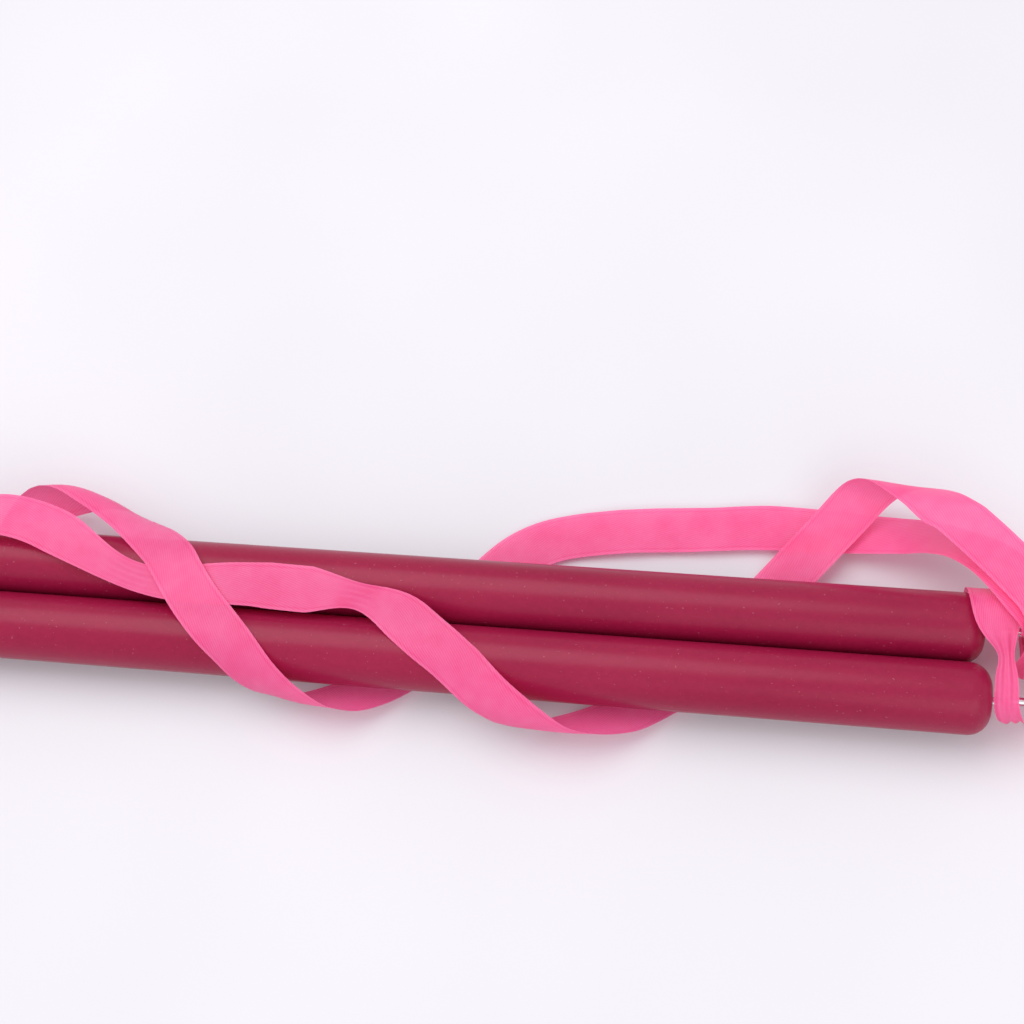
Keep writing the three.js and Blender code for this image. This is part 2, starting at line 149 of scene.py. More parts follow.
# up round the edge of wand A and over both rods
A_WOUND = [
    (0.0920, -0.0330, 0.0100, 0.0082, RIBBON_WIDTH),
    (0.0876, -0.0306, 0.0116, 0.0082, RIBBON_WIDTH),
    (0.0818, -0.0276, 0.0128, 0.0080, RIBBON_WIDTH),
    (0.0745, -0.0244, 0.0131, 0.0078, RIBBON_WIDTH),
    (0.0668, -0.0210, 0.0132, 0.0076, RIBBON_WIDTH),
    (0.0585, -0.0166, 0.0126, 0.0076, RIBBON_WIDTH),
    (0.0508, -0.0124, 0.0104, 0.0076, RIBBON_WIDTH),
    (0.0452, -0.0089, 0.0080, 0.0076, RIBBON_WIDTH),
    (0.0393, -0.0048, 0.0076, 0.0076, RIBBON_WIDTH),
    (0.0341, -0.0011, 0.0076, 0.0076, 0.0095),
    (0.0254, 0.0020, 0.0076, 0.0076, 0.0060),
    (0.0150, 0.0027, 0.0076, 0.0076, RIBBON_WIDTH),
    (0.0060, 0.0030, 0.0076, 0.0076, RIBBON_WIDTH),
]
A_ON_TOP = [
    (-0.0047, 0.0026, 0.0166, 720, 0.0090),
    (-0.0135, 0.0020, 0.0166, 720, 0.0075),
    (-0.0226, 0.0030, 0.0168, 720, 0.0062),
    (-0.0319, 0.0067, 0.0173, 722, 0.0076),
    (-0.0407, 0.0111, 0.0178, 725, RIBBON_WIDTH),
    (-0.0495, 0.0138, 0.0180, 727, RIBBON_WIDTH),
    (-0.0570, 0.0138, 0.0179, 725, RIBBON_WIDTH),
    (-0.0645, 0.0100, 0.0180, 722, RIBBON_WIDTH),
    (-0.0715, 0.0052, 0.0184, 720, RIBBON_WIDTH),
    (-0.0790, 0.0025, 0.0187, 720, RIBBON_WIDTH),
    (-0.0920, 0.0015, 0.0187, 720, RIBBON_WIDTH),
    (-0.1020, 0.0015, 0.0187, 720, RIBBON_WIDTH),
]
B_START = [
    # from behind its knot, up between the two swivels
    (0.1578, 0.0080, 0.0032, 180, 0.0040),
    (0.1580, 0.0030, 0.0040, 215, 0.0040),
    (0.1574, -0.0012, 0.0066, 285, 0.0050),
    (0.1570, -0.0012, 0.0100, 292, 0.0064),
    (0.1580, 0.0002, 0.0138, 268, 0.0070),
    (0.1586, 0.0052, 0.0168, 222, 0.0090),
    (0.1552, 0.0114, 0.0180, 190, RIBBON_WIDTH),
    # along beside wand B
    (0.1502, 0.0180, 0.0163, 190, RIBBON_WIDTH),
    (0.1442, 0.0236, 0.0118, 204, RIBBON_WIDTH),
    (0.1368, 0.0268, 0.0070, 202, RIBBON_WIDTH),
    (0.1278, 0.0282, 0.0036, 194, RIBBON_WIDTH),
    (0.1163, 0.0290, 0.0022, 184, RIBBON_WIDTH),
    (0.1040, 0.0290, 0.0018, 180, RIBBON_WIDTH),
    (0.0917, 0.0278, 0.0018, 180, RIBBON_WIDTH),
    (0.0814, 0.0269, 0.0018, 180, RIBBON_WIDTH),
    (0.0710, 0.0256, 0.0016, 180, RIBBON_WIDTH),
    (0.0630, 0.0240, 0.0013, 180, RIBBON_WIDTH),
    (0.0555, 0.0205, 0.0010, 180, RIBBON_WIDTH),
    (0.0495, 0.0148, 0.0008, 180, RIBBON_WIDTH),
    (0.0450, 0.0074, 0.0008, 180, RIBBON_WIDTH),
    (0.0420, 0.0010, 0.0008, 180, RIBBON_WIDTH),
]
B_WOUND = [
    (0.0390, -0.0345, 0.0096, 0.0082, RIBBON_WIDTH),
    (0.0345, -0.0312, 0.0112, 0.0082, RIBBON_WIDTH),
    (0.0280, -0.0275, 0.0124, 0.0080, RIBBON_WIDTH),
    (0.0205, -0.0240, 0.0122, 0.0078, RIBBON_WIDTH),
    (0.0135, -0.0200, 0.0114, 0.0076, RIBBON_WIDTH),
    (0.0065, -0.0158, 0.0092, 0.0076, RIBBON_WIDTH),
    (0.0013, -0.0109, 0.0078, 0.0076, RIBBON_WIDTH),
    (-0.0020, -0.0076, 0.0078, 0.0080, RIBBON_WIDTH),
    (-0.0069, -0.0028, 0.0080, 0.0085, RIBBON_WIDTH),
    (-0.0107, 0.0016, 0.0082, 0.0086, RIBBON_WIDTH),
    (-0.0136, 0.0054, 0.0084, 0.0084, RIBBON_WIDTH),
    (-0.0180, 0.0100, 0.0086, 0.0078, RIBBON_WIDTH),
    (-0.0235, 0.0136, 0.0102, 0.0076, RIBBON_WIDTH),
    (-0.0305, 0.0162, 0.0136, 0.0076, RIBBON_WIDTH),
    (-0.0385, 0.0183, 0.0172, 0.0076, RIBBON_WIDTH),
    (-0.0465, 0.0206, 0.0184, 0.0076, RIBBON_WIDTH),
    (-0.0540, 0.0240, 0.0154, 0.0078, RIBBON_WIDTH),
    (-0.0590, 0.0300, 0.0104, 0.0080, RIBBON_WIDTH),
    (-0.0620, 0.0375, 0.0084, 0.0082, RIBBON_WIDTH),
    (-0.0642, 0.0455, 0.0080, 0.0082, RIBBON_WIDTH),
    (-0.0660, 0.0540, 0.0080, 0.0078, RIBBON_WIDTH),
    (-0.0690, 0.0620, 0.0078, 0.0076, RIBBON_WIDTH),
    (-0.0740, 0.0700, 0.0077, 0.0076, RIBBON_WIDTH),
    (-0.0800, 0.0763, 0.0077, 0.0076, RIBBON_WIDTH),
]
TAIL_A = [
    (0.1550, -0.0100, 0.0062, 240, 0.0034),
    (0.1538, -0.0112, 0.0094, 286, 0.0044),
    (0.1526, -0.0100, 0.0122, 318, 0.0046),
    (0.1523, -0.0064, 0.0139, 350, 0.0044),
    (0.1522, -0.0030, 0.0143, 360, 0.0038),
    (0.1521, 0.0002, 0.0144, 360, 0.0030),
    (0.1513, 0.0034, 0.0156, 352, 0.0058),
    (0.1503, 0.0068, 0.0167, 356, 0.0086),
    (0.1498, 0.0102, 0.0164, 382, 0.0094),
    (0.1495, 0.0138, 0.0132, 420, 0.0094),
    (0.1493, 0.0157, 0.0088, 452, 0.0090),
    (0.1492, 0.0160, 0.0052, 462, 0.0086),
]
TAIL_B = [
    (0.1566, 0.0052, 0.0134, -20, 0.0030),
    (0.1577, 0.0070, 0.0146, 0, 0.0040),
    (0.1577, 0.0110, 0.0134, 42, 0.0040),
    (0.1577, 0.0134, 0.0095, 90, 0.0045),
    (0.1575, 0.0142, 0.0050, 105, 0.0050),
    (0.1569, 0.0160, 0.0018, 130, 0.0060),
]

WEAVE_PITCH = 0.00045
CLOTH_STEP = 0.0005
CLOTH_ACROSS = 20
# The narrowest that a ribbon is squeezed, the height of its ripples, and the least height
# at which it lies above the surface
NARROWEST = 0.0022
RIPPLE = 0.00012
LEAST_HEIGHT = 0.0002
# The radius that stands for the axis itself in a turned profile
NEAR_AXIS = 0.00001


# ---------------------------------------------------------------- materials
def new_material(name):
    material = bpy.data.materials.new(name)
    material.use_nodes = True
    tree = material.node_tree
    tree.nodes.clear()
    output = tree.nodes.new("ShaderNodeOutputMaterial")
    return material, tree, output


def add(tree, kind, **values):
    """A node with its inputs set. A value that is a socket is linked to the input."""
    node = tree.nodes.new(kind)
    for key, value in values.items():
        if hasattr(node, key) and key not in node.inputs:
            setattr(node, key, value)
            continue
        socket = node.inputs[int(key[1:])] if key[0] == "i" and key[1:].isdigit() else node.inputs[key]
        if isinstance(value, bpy.types.NodeSocket):
            tree.links.new(value, socket)
        else:
            socket.default_value = value
    return node


def maths(tree, operation, first, second=0.0, clamp=False):
    node = tree.nodes.new("ShaderNodeMath")
    node.operation = operation
    node.use_clamp = clamp
    for socket, value in zip(node.inputs, (first, second)):
        if isinstance(value, bpy.types.NodeSocket):
            tree.links.new(value, socket)
        else:
            socket.default_value = value
    return node.outputs[0]


def ramp(tree, factor, stops):
    """Colour by factor. Stops are (position, linear colour)."""
    node = tree.nodes.new("ShaderNodeValToRGB")
    tree.links.new(factor, node.inputs[0])
    elements = node.color_ramp.elements
    while len(elements) < len(stops):
        elements.new(0.5)
    for element, (position, colour) in zip(elements, stops):
        element.position = position
        element.color = (*colour, 1)
    return node.outputs[0]


def spread(tree, factor, low, high, to_low=0.0, to_high=1.0):
    """factor from low..high to to_low..to_high, clamped."""
    node = tree.nodes.new("ShaderNodeMapRange")
    tree.links.new(factor, node.inputs["Value"])
    node.inputs["From Min"].default_value = low
    node.inputs["From Max"].default_value = high
    node.inputs["To Min"].default_value = to_low
    node.inputs["To Max"].default_value = to_high
    return node.outputs[0]


def noise(tree, scale, detail=3, stretch=(1, 1, 1), roughness=0.5):
    """Noise in the object's own metres, stretched per axis."""
    place = tree.nodes.new("ShaderNodeTexCoord")
    mapping = add(tree, "ShaderNodeMapping", Vector=place.outputs["Object"], Scale=stretch)
    texture = add(
        tree,
        "ShaderNodeTexNoise",
        Vector=mapping.outputs[0],
        Scale=scale,
        Detail=detail,
        Roughness=roughness,
    )
    return texture.outputs[0]


def srgb(red, green, blue):
    """A linear colour from 8-bit sRGB."""
    def linear(value):
        value /= 255
        return value / 12.92 if value <= 0.04045 else ((value + 0.055) / 1.055) ** 2.4
    return linear(red), linear(green), linear(blue)


def plastic_material(name, colour):
    """Moulded plastic: slightly uneven colour, soft gloss, fine scratches along the rod."""
    material, tree, output = new_material(name)
    cloudy = noise(tree, 60, 4, (0.35, 1, 1))
    fine = noise(tree, 900, 2)
    scratch = noise(tree, 1400, 3, (0.03, 1, 1), 0.7)
    specks = noise(tree, 1900, 1)
    tint = maths(tree, "ADD", maths(tree, "MULTIPLY", cloudy, 0.7), maths(tree, "MULTIPLY", fine, 0.3))
    dark = tuple(value * 0.86 for value in colour)
    light = tuple(min(1, value * 1.12 + 0.004) for value in colour)
    base = ramp(tree, tint, [(0.3, dark), (0.7, light)])
    dust = spread(tree, specks, 0.735, 0.77)
    pale = add(tree, "ShaderNodeMix", data_type="RGBA")
    tree.links.new(maths(tree, "MULTIPLY", dust, 0.25), pale.inputs["Factor"])
    tree.links.new(base, pale.inputs[6])
    pale.inputs[7].default_value = (*[min(1, value + 0.25) for value in colour], 1)
    scuff = spread(tree, scratch, 0.62, 0.75)
    dull = maths(tree, "MULTIPLY", scuff, 0.12)
    rough = maths(tree, "ADD", spread(tree, cloudy, 0.3, 0.7, 0.27, 0.37), dull)
    relief = maths(tree, "MULTIPLY", fine, 0.25)
    relief = maths(tree, "ADD", relief, maths(tree, "MULTIPLY", scuff, -0.4))
    bump = add(tree, "ShaderNodeBump", Strength=0.14, Distance=0.00008, Height=relief)
    shader = add(
        tree, "ShaderNodeBsdfPrincipled", Roughness=rough, Normal=bump.outputs[0], IOR=1.5
    )
    shader.inputs["Specular IOR Level"].default_value = 0.24
    tree.links.new(pale.outputs[2], shader.inputs["Base Color"])
    tree.links.new(shader.outputs[0], output.inputs[0])
    return material


def metal_material(name, colour, roughness):
    """Drawn or turned metal: fine lines along the wire and a faint tarnish."""
    material, tree, output = new_material(name)
    lines = noise(tree, 5200, 2, (0.08, 1, 1))
    tarnish = noise(tree, 420, 3)
    dark = tuple(value * 0.72 for value in colour)
    base = ramp(tree, tarnish, [(0.35, dark), (0.6, colour)])
    rough = maths(tree, "ADD", maths(tree, "MULTIPLY", lines, 0.16), roughness - 0.08)
    bump = add(tree, "ShaderNodeBump", Strength=0.2, Distance=0.00003, Height=lines)
    shader = add(
        tree, "ShaderNodeBsdfPrincipled", Metallic=1.0, Roughness=rough, Normal=bump.outputs[0]
    )
    tree.links.new(base, shader.inputs["Base Color"])
    tree.links.new(shader.outputs[0], output.inputs[0])
    return material


def nylon_material():
    """Natural nylon: waxy, a little cloudy."""
    material, tree, output = new_material("washer_nylon")
    cloudy = noise(tree, 700, 3)
    base = ramp(tree, cloudy, [(0.3, srgb(222, 216, 202)), (0.7, srgb(240, 237, 228))])
    rough = spread(tree, cloudy, 0.3, 0.7, 0.42, 0.56)
    bump = add(tree, "ShaderNodeBump", Strength=0.1, Distance=0.00005, Height=cloudy)
    shader = add(tree, "ShaderNodeBsdfPrincipled", Roughness=rough, Normal=bump.outputs[0])
    tree.links.new(base, shader.inputs["Base Color"])
    tree.links.new(shader.outputs[0], output.inputs[0])
    return material


SATIN = (1.0, 0.128, 0.36)
SATIN_THROUGH = (1.0, 0.14, 0.38)
THROUGH_SHARE = 0.27
OPEN_WEAVE = (1.0, 0.55, 0.75)
OPEN_SHARE = 0.10


def satin_material():
    """Thin woven satin: diagonal ribs, denser selvedges, a soft sheen, and light through its weave."""
    material, tree, output = new_material("ribbon_satin")
    place = add(tree, "ShaderNodeUVMap", uv_map="cloth")
    split = add(tree, "ShaderNodeSeparateXYZ", Vector=place.outputs[0])
    across, along = split.outputs[0], split.outputs[1]
    # ribs at a shallow angle to the ribbon's length, and the finer threads across it
    lengthwise = maths(tree, "MULTIPLY", along, 0.31)
    slanted = maths(tree, "ADD", lengthwise, maths(tree, "MULTIPLY", across, 0.95))
    wander = maths(tree, "MULTIPLY", noise(tree, 260, 2), 0.0004)
    turns = maths(tree, "MULTIPLY", maths(tree, "ADD", slanted, wander), 2 * math.pi / WEAVE_PITCH)
    ribs = maths(tree, "SINE", turns)
    threads = maths(tree, "SINE", maths(tree, "MULTIPLY", along, 2 * math.pi / (0.6 * WEAVE_PITCH)))
    cloth = noise(tree, 330, 4)
    patch = noise(tree, 75, 2)
    edge = maths(tree, "ABSOLUTE", across)
    half = 0.5 * RIBBON_WIDTH
    hem = spread(tree, edge, half - 0.0007, half - 0.0004)
    groove = maths(
        tree,
        "MULTIPLY",
        spread(tree, edge, half - 0.0011, half - 0.0008),
        spread(tree, edge, half - 0.0008, half - 0.0005, 1, 0),
    )
    shade = maths(tree, "MULTIPLY", ribs, 0.15)
    shade = maths(tree, "ADD", shade, maths(tree, "MULTIPLY", threads, 0.03))
    shade = maths(tree, "ADD", shade, spread(tree, cloth, 0.2, 0.8, -0.10, 0.10))
    shade = maths(tree, "ADD", shade, spread(tree, patch, 0.3, 0.7, -0.10, 0.10))
    shade = maths(tree, "ADD", shade, maths(tree, "MULTIPLY", groove, -0.16))
    shade = maths(tree, "ADD", shade, maths(tree, "MULTIPLY", hem, 0.08))
    shade = maths(tree, "ADD", shade, 0.5, clamp=True)
    deep = tuple(value * share for value, share in zip(SATIN, (0.93, 0.45, 0.68)))
    pale = tuple(min(1, value + 0.09) for value in SATIN)
    base = ramp(tree, shade, [(0.2, deep), (0.5, SATIN), (0.85, pale)])
    relief = maths(tree, "MULTIPLY", ribs, 0.5)
    relief = maths(tree, "ADD", relief, maths(tree, "MULTIPLY", threads, 0.3))
    relief = maths(tree, "ADD", relief, maths(tree, "MULTIPLY", hem, 1.2))
    relief = maths(tree, "ADD", relief, maths(tree, "MULTIPLY", cloth, 1.2))
    bump = add(tree, "ShaderNodeBump", Strength=0.35, Distance=0.00006, Height=relief)
    rough = maths(tree, "ADD", maths(tree, "MULTIPLY", ribs, 0.04), 0.42)
    front = add(
        tree, "ShaderNodeBsdfPrincipled", Roughness=rough, Normal=bump.outputs[0]
    )
    front.inputs["Sheen Weight"].default_value = 0.18
    front.inputs["Sheen Roughness"].default_value = 0.35
    front.inputs["Sheen Tint"].default_value = (1.0, 0.72, 0.85, 1)
    front.inputs["Specular IOR Level"].default_value = 0.45
    tree.links.new(base, front.inputs["Base Color"])
    back = add(tree, "ShaderNodeBsdfTranslucent", Normal=bump.outputs[0])
    back.inputs["Color"].default_value = (*SATIN_THROUGH, 1)
    both = add(tree, "ShaderNodeMixShader", Fac=THROUGH_SHARE)
    tree.links.new(front.outputs[0], both.inputs[1])
    tree.links.new(back.outputs[0], both.inputs[2])
    gaps = add(tree, "ShaderNodeBsdfTransparent")
    gaps.inputs["Color"].default_value = (*OPEN_WEAVE, 1)
    thin = add(tree, "ShaderNodeMixShader", Fac=OPEN_SHARE)
    tree.links.new(both.outputs[0], thin.inputs[1])
    tree.links.new(gaps.outputs[0], thin.inputs[2])
    tree.links.new(thin.outputs[0], output.inputs[0])
    return material


def floor_material():
    material, tree, output = new_material("floor_paper")
    cloudy = noise(tree, 9, 2)
    base = ramp(tree, cloudy, [(0.3, srgb(215, 213, 218)), (0.7, srgb(220, 218, 223))])
    shader = add(tree, "ShaderNodeBsdfPrincipled", Roughness=0.75)
    shader.inputs["Specular IOR Level"].default_value = 0.2
    tree.links.new(base, shader.inputs["Base Color"])
    tree.links.new(shader.outputs[0], output.inputs[0])
    return material


ROD_PLASTIC = plastic_material("rod_plastic", srgb(142, 14, 57))
PLUG_PLASTIC = plastic_material("plug_plastic", srgb(138, 14, 55))
BUSH_METAL = metal_material("bush_metal", (0.62, 0.58, 0.48), 0.28)
STEEL_WIRE = metal_material("steel_wire", (0.74, 0.74, 0.75), 0.2)
WASHER_NYLON = nylon_material()
RIBBON_SATIN = satin_material()


# ---------------------------------------------------------------- meshes
def new_piece(name, points, faces, material, smooth_angle=40):
    """A mesh at its place in the CAD frame, from points in the bundle's own frame."""
    mesh = bpy.data.meshes.new(name)
    mesh.from_pydata([tuple(Vector(point) + ORIGIN) for point in points], [], faces)
    mesh.validate()
    mesh.shade_smooth()
    mesh.set_sharp_from_angle(angle=math.radians(smooth_angle))
    mesh.materials.append(material)
    piece = bpy.data.objects.new(name, mesh)
    scene.collection.objects.link(piece)
    return piece


def arc(centre_x, centre_r, radius, start, end, steps):
    """Profile points of an arc in the plane of X and radius, with angles in degrees from +X."""
    angles = np.radians(np.linspace(start, end, steps + 1))
    return [(centre_x + radius * math.cos(a), centre_r + radius * math.sin(a)) for a in angles]


def turned(name, wand, profile, material, segments=96, seam=0.0):
    """A closed profile turned about a wand's axis. seam is the height of a mould's parting line."""
    axis_y, shift = WANDS[wand]
    points = []
    for x, radius in profile:
        for k in range(segments):
            angle = 2 * math.pi * k / segments
            line = math.exp(-((math.sin(angle) / 0.05) ** 2))
            r = radius + (seam * line if radius > 0.0055 else 0.0)
            points.append((x + shift, axis_y + r * math.cos(angle), AXIS_HEIGHT + r * math.sin(angle)))
    faces = []
    count = len(profile)
    for i in range(count):
        j = (i + 1) % count
        for k in range(segments):
            m = (k + 1) % segments
            faces.append((i * segments + k, j * segments + k, j * segments + m, i * segments + m))
    return new_piece(name, points, faces, material)


def capped(name, wand, profile, material, segments=96):
    """A profile turned about a wand's axis, with a flat cap at each of its two ends."""
    axis_y, shift = WANDS[wand]
    points = []
    for x, radius in profile:
        for k in range(segments):
            angle = 2 * math.pi * k / segments
            points.append(
                (x + shift, axis_y + radius * math.cos(angle), AXIS_HEIGHT + radius * math.sin(angle))
            )
    faces = []
    last = (len(profile) - 1) * segments
    for i in range(len(profile) - 1):
        for k in range(segments):
            m = (k + 1) % segments
            here, there = i * segments, (i + 1) * segments
            faces.append((here + k, there + k, there + m, here + m))
    faces.append(tuple(range(segments)))
    faces.append(tuple(reversed(range(last, last + segments))))
    return new_piece(name, points, faces, material)


def spline(knots, rows, at):
    """Natural cubic spline through rows at knots, read at the given places."""
    n = len(knots)
    gap = np.diff(knots)
    matrix = np.zeros((n, n))
    right = np.zeros((n, rows.shape[1]))
    matrix[0, 0] = matrix[-1, -1] = 1
    for i in range(1, n - 1):
        matrix[i, i - 1 : i + 2] = gap[i - 1], 2 * (gap[i - 1] + gap[i]), gap[i]
        right[i] = 6 * ((rows[i + 1] - rows[i]) / gap[i] - (rows[i] - rows[i - 1]) / gap[i - 1])
    curve = np.linalg.solve(matrix, right)
    k = np.clip(np.searchsorted(knots, at, side="right") - 1, 0, n - 2)
    h = gap[k][:, None]
    a = (knots[k + 1] - at)[:, None] / h
    b = (at - knots[k])[:, None] / h
    bend = ((a**3 - a) * curve[k] + (b**3 - b) * curve[k + 1]) * h**2 / 6
    return a * rows[k] + b * rows[k + 1] + bend


def along_rows(rows, columns, step):
    """Rows splined by their distance in the given columns, and read every step."""
    rows = np.array(rows, float)
    chord = np.linalg.norm(np.diff(rows[:, columns], axis=0), axis=1)
    knots = np.concatenate([[0], np.cumsum(chord)])
    return spline(knots, rows, np.linspace(0, knots[-1], max(3, round(knots[-1] / step)) + 1))


def outline(around, half_width, round_y, round_z, middle_y, middle_z):
    """Y, z and roll of the rounded outline that a wound ribbon follows.

    around is the distance from the top middle towards +Y, on the nominal outline.
    """
    straight = 2 * half_width
    bend = math.pi * NOMINAL_RADIUS
    half_turns = np.floor((around + half_width) / (straight + bend))
    reach = around + half_width - half_turns * (straight + bend)
    angle = np.clip((reach - straight) / bend, 0, 1) * math.pi
    flip = np.where(half_turns % 2 == 0, 1.0, -1.0)
    y = np.minimum(reach, straight) - half_width
    y = middle_y + flip * (y + round_y * np.sin(angle))
    z = middle_z + flip * round_z * np.cos(angle)
    return y, z, np.degrees(angle) + 180 * half_turns


def strip_points(stretches):
    """Points of a flat strip laid along its stretches, with the length and width at each row.

    A free stretch lists (x, y, z, roll, width). A wound one gives its outline and turn, and
    lists (x, around, round_y, round_z, width) on that outline.
    """
    dense = []
    for kind, stations in stretches:
        if kind is None:
            for x, y, z, roll, width in stations:
                dense.append([x, y, z, roll, width, x, np.nan, 1, 1, 0, 0, 0, 0])
            continue
        half_width, middle_y, middle_z, turn = kind
        fine = along_rows(stations, [0, 1], 0.002)
        y, z, roll = outline(fine[:, 1], half_width, fine[:, 2], fine[:, 3], middle_y, middle_z)
        for i, (x, around, round_y, round_z, width) in enumerate(fine):
            inside = 0 < i < len(fine) - 1
            dense.append(
                [x, y[i], z[i], roll[i] + turn, width, x, around, round_y, round_z]
                + [half_width, middle_y, middle_z, float(inside)]
            )
    dense = np.array(dense)
    wound = np.flatnonzero(~np.isnan(dense[:, 6]))
    if not len(wound):
        dense[:, 6] = 0
    for i in np.flatnonzero(np.isnan(dense[:, 6])):
        near = wound[np.argmin(np.abs(wound - i))]
        dense[i, 6:12] = dense[near, 6:12]
    rows = along_rows(dense, [0, 1, 2], CLOTH_STEP)
    # the wound columns hold within their own stretch only
    chord = np.linalg.norm(np.diff(dense[:, :3], axis=0), axis=1)
    knots = np.concatenate([[0], np.cumsum(chord)])
    at = np.linspace(0, knots[-1], len(rows))
    for column in range(5, 13):
        rows[:, column] = np.interp(at, knots, dense[:, column])
    place = rows[:, :3]
    lengths = np.concatenate([[0], np.cumsum(np.linalg.norm(np.diff(place, axis=0), axis=1))])
    width = np.clip(rows[:, 4], NARROWEST, RIBBON_WIDTH)[:, None]
    along = np.gradient(place, axis=0)
    along /= np.linalg.norm(along, axis=1)[:, None]
    roll = np.radians(rows[:, 3])
    out = np.stack([np.zeros_like(roll), np.sin(roll), np.cos(roll)], axis=1)
    out -= (out * along).sum(1)[:, None] * along
    out /= np.linalg.norm(out, axis=1)[:, None]
    side = np.cross(out, along)
    u = np.linspace(-1, 1, CLOTH_ACROSS + 1)[None, :]
    reach = 0.5 * width * u
    points = place[:, None, :] + side[:, None, :] * reach[:, :, None]
    # on the wound rows the strip follows the outline from edge to edge
    run_x, run_around = np.gradient(rows[:, 5]), np.gradient(rows[:, 6])
    nudge = 0.0002
    shape = rows[:, [9, 7, 8, 10, 11]].T
    y_before, z_before, _roll = outline(rows[:, 6] - nudge, *shape)
    y_after, z_after, _roll = outline(rows[:, 6] + nudge, *shape)
    stretch = np.hypot(y_after - y_before, z_after - z_before) / (2 * nudge)
    window = np.hanning(15)
    stretch = np.pad(np.clip(stretch, 0.4, 4), 7, mode="edge")
    stretch = np.convolve(stretch, window / window.sum(), mode="valid")
    norm = np.hypot(run_x, stretch * run_around) + 1e-12
    step_x = (-stretch * run_around / norm)[:, None]
    step_around = (run_x / (norm * stretch))[:, None]
    around = rows[:, 6:7] + step_around * reach
    y, z, _roll = outline(around, *shape[:, :, None])
    x = rows[:, 5:6] + step_x * reach
    wrapped = np.stack([x, y, z], axis=2)
    share = np.clip(rows[:, 12], 0, 1)[:, None, None]
    points = points * (1 - share) + wrapped * share
    return points, lengths, width


def lay_cloth(piece, flat):
    """The cloth's own coordinates, from each point's place on the flat ribbon in metres."""
    cloth = piece.data.uv_layers.new(name="cloth")
    index = np.zeros(len(piece.data.loops), np.int32)
    piece.data.loops.foreach_get("vertex_index", index)
    cloth.data.foreach_set("uv", flat[index].ravel().astype(np.float32))


def ribbon(name, stretches, phase, gather):
    """Ribbon laid along its stretches. Squeezed narrower than its cut, it pleats by gather."""
    flat, lengths, width = strip_points(stretches)
    u = np.linspace(-1, 1, CLOTH_ACROSS + 1)[None, :]
    over = np.gradient(flat, axis=0)
    across = np.gradient(flat, axis=1)
    normal = np.cross(over, across)
    normal /= np.linalg.norm(normal, axis=2)[:, :, None] + 1e-12
    squeeze = np.sqrt(np.maximum(0, (RIBBON_WIDTH / width) ** 2 - 1) * 2)
    pleats = 2.5
    narrow = np.clip((0.0085 - width) / 0.0045, 0, 1)
    height = gather * squeeze * width / (2 * math.pi * pleats) * narrow**2 * (3 - 2 * narrow)
    s = lengths[:, None]
    lift = height * np.cos(math.pi * pleats * u + phase + 22 * s)
    # slow ripples along the cloth, slanted, with the free edges moving most
    slant = s + 0.0035 * u
    wave = np.sin(230 * slant + phase) + 0.6 * np.sin(390 * slant + 2.1 * phase + 0.8 * u)
    wave += 0.25 * np.sin(820 * s - 1.2 * u + 3.3 * phase)
    lift = lift + RIPPLE * wave * (0.35 + 0.65 * u**2) * np.clip(width / RIBBON_WIDTH, 0, 1)
    points = flat + normal * lift[:, :, None]
    points[:, :, 2] = np.maximum(points[:, :, 2], LEAST_HEIGHT)
    rows, columns = points.shape[:2]
    faces = []
    for i in range(rows - 1):
        for j in range(columns - 1):
            first = i * columns + j
            faces.append((first, first + 1, first + columns + 1, first + columns))
    piece = new_piece(name, points.reshape(-1, 3), faces, RIBBON_SATIN, 180)
    flat_u = np.broadcast_to(0.5 * RIBBON_WIDTH * u, (rows, columns)).ravel()
    flat_v = np.broadcast_to(s, (rows, columns)).ravel()
    lay_cloth(piece, np.stack([flat_u, flat_v], 1))
    return piece


ROUND_BOTH = 4 * AXIS_Y + 2 * math.pi * NOMINAL_RADIUS


def hank_turns(start_x, entry, turns):
    """Wound stations of the stored turns, from where the ribbon enters the hank to its cut end.

    entry is the x and the distance around at which the turns start.
    """
    first_x, first_around = entry
    low = start_x + 0.55 * RIBBON_WIDTH
    high = start_x + HANK_LENGTH - 0.55 * RIBBON_WIDTH
    steps_each = 12
    stations = []
    for i in range(1, turns * steps_each + 1):
        turned_by = i / steps_each
        share = turned_by / turns
        drift = 0.5 - 0.5 * math.cos(math.pi * min(1, turned_by / 1.1))
        middle = low + (high - low) * (0.5 - 0.5 * math.cos(2 * math.pi * share * 1.25 + 0.4))
        radius = ROD_RADIUS + 0.0004 + (HANK_OFFSET - 0.0008) * share
        x = first_x + (middle - first_x) * drift
        stations.append((x, first_around + turned_by * ROUND_BOTH, radius, radius, RIBBON_WIDTH))
    return stations


# ---------------------------------------------------------------- the wands
def rod(wand):
    inner = ROD_RADIUS - ROD_WALL
    bore = BUSH_RADIUS + FIT_GAP
    edge = 0.0003
    profile = [
        (HANDLE_X, inner + edge),
        (HANDLE_X, ROD_RADIUS - edge),
        *arc(HANDLE_X + edge, ROD_RADIUS - edge, edge, 180, 90, 4)[1:],
        *[(HANDLE_X + share * ROD_LENGTH, ROD_RADIUS) for share in (0.1, 0.3, 0.5, 0.7, 0.9)],
        *arc(TIP_X - TIP_ROUNDING, ROD_RADIUS - TIP_ROUNDING, TIP_ROUNDING, 90, 0, 20),
        (TIP_X, bore + edge),
        *arc(TIP_X - edge, bore + edge, edge, 0, -90, 3)[1:],
        (TIP_X - TIP_WALL, bore),
        (TIP_X - TIP_WALL, inner),
        (HANDLE_X + edge, inner),
    ]
    piece = turned(f"rod_shell_{wand}", wand, profile, ROD_PLASTIC, 128, 0.00004)
    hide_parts(f"rod_{wand}")
    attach(piece, "bundle")
    return piece


